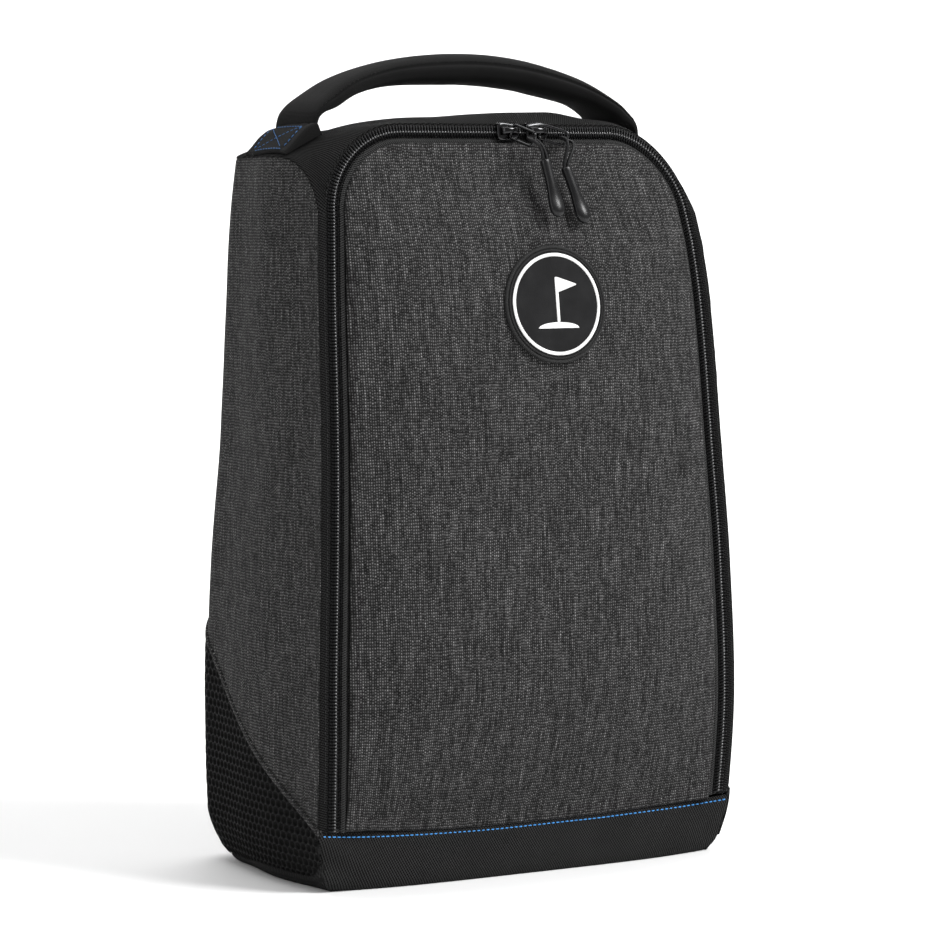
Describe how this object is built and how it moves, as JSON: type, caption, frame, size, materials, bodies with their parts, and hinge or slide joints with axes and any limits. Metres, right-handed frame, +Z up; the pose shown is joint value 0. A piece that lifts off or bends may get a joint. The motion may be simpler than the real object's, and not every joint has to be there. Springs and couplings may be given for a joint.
{
  "type": "golf shoe bag",
  "caption": "Upright zipped bag for one pair of golf shoes, with a padded top handle, mesh side vents and a front panel that opens down on twin zip sliders.",
  "frame": {"origin": "middle of the base's floor face", "axes": "+Z up, -Y towards the zipped front panel, +X to the bag's right as seen from the front"},
  "size_m": [0.2362, 0.1428, 0.3818],
  "materials": {
    "heather": "charcoal and grey flecked woven polyester, padded",
    "twill": "black ribbed twill",
    "mesh": "black open honeycomb mesh",
    "jersey": "matte black padded knit",
    "tape": "black woven zip tape",
    "coil": "black moulded nylon coil",
    "metal": "black nickel plated die-cast zinc",
    "cord": "black round braided cord",
    "grip": "satin black moulded rubber",
    "badge": "matte black patch",
    "print": "raised white print",
    "lining": "dark woven nylon lining",
    "board": "stiff plastic sheet",
    "foam": "soft grey foam"
  },
  "bodies": {
    "bag": {"back_panel": "heather", "back_board": "board", "back_lining": "lining", "side_panel_left": "heather", "side_panel_right": "heather", "side_hem_left": "heather", "side_hem_right": "heather", "side_mesh_left": "mesh", "side_mesh_right": "mesh", "side_lining_left": "lining", "side_lining_right": "lining", "base_panel": "twill", "base_board": "board", "base_lining": "lining", "gusset": "twill", "top_lining": "lining", "zip_tape_fixed": "tape", "zip_coil_fixed": "coil", "hinge_binding": "tape", "handle_patch_left": "jersey", "handle_patch_right": "jersey"},
    "flap": {"flap_panel": "heather", "flap_foam": "foam", "flap_lining": "lining", "zip_tape_flap": "tape", "zip_coil_flap": "coil", "badge_base": "badge", "badge_ring": "print", "badge_emblem": "print"},
    "handle": {"handle_cover": "jersey", "handle_foam": "foam"},
    "slider_left": {"slider_left": "metal"},
    "slider_right": {"slider_right": "metal"},
    "bail_left": {"pull_bail_left": "metal"},
    "bail_right": {"pull_bail_right": "metal"},
    "pull_left": {"pull_cord_left": "cord", "pull_end_left": "grip"},
    "pull_right": {"pull_cord_right": "cord", "pull_end_right": "grip"}
  },
  "joints": [
    {"name": "flap_hinge", "type": "hinge", "parent": "bag", "child": "flap", "pos_m": [0, -0.0651, 0.0247], "axis": [1, 0, 0], "range_deg": [0, 85]},
    {"name": "handle_hinge", "type": "hinge", "parent": "bag", "child": "handle", "pos_m": [0, 0, 0.35], "axis": [1, 0, 0], "range_deg": [-30, 20], "stiffness_Nm_per_rad": 0.02},
    {"name": "slider_left_slide", "type": "slide", "parent": "flap", "child": "slider_left", "axis": [-1, 0, 0], "range_m": [0, 0.05]},
    {"name": "slider_right_slide", "type": "slide", "parent": "flap", "child": "slider_right", "axis": [1, 0, 0], "range_m": [0, 0.04]},
    {"name": "bail_left_hinge", "type": "hinge", "parent": "slider_left", "child": "bail_left", "pos_m": [-0.0016, -0.05036, 0.34469], "axis": [0.2094, -0.2751, 0.9383], "range_deg": [-78, 8]},
    {"name": "bail_right_hinge", "type": "hinge", "parent": "slider_right", "child": "bail_right", "pos_m": [0.0144, -0.05036, 0.34469], "axis": [0.3129, -0.0652, 0.9475], "range_deg": [-28, 3]},
    {"name": "pull_left_hinge", "type": "hinge", "parent": "bail_left", "child": "pull_left", "pos_m": [0.00387, -0.06129, 0.34027], "axis": [-1, 0, 0], "range_deg": [0, 34]},
    {"name": "pull_right_hinge", "type": "hinge", "parent": "bail_right", "child": "pull_right", "pos_m": [0.0248, -0.05711, 0.3408], "axis": [-1, 0, 0], "range_deg": [0, 50]}
  ]
}
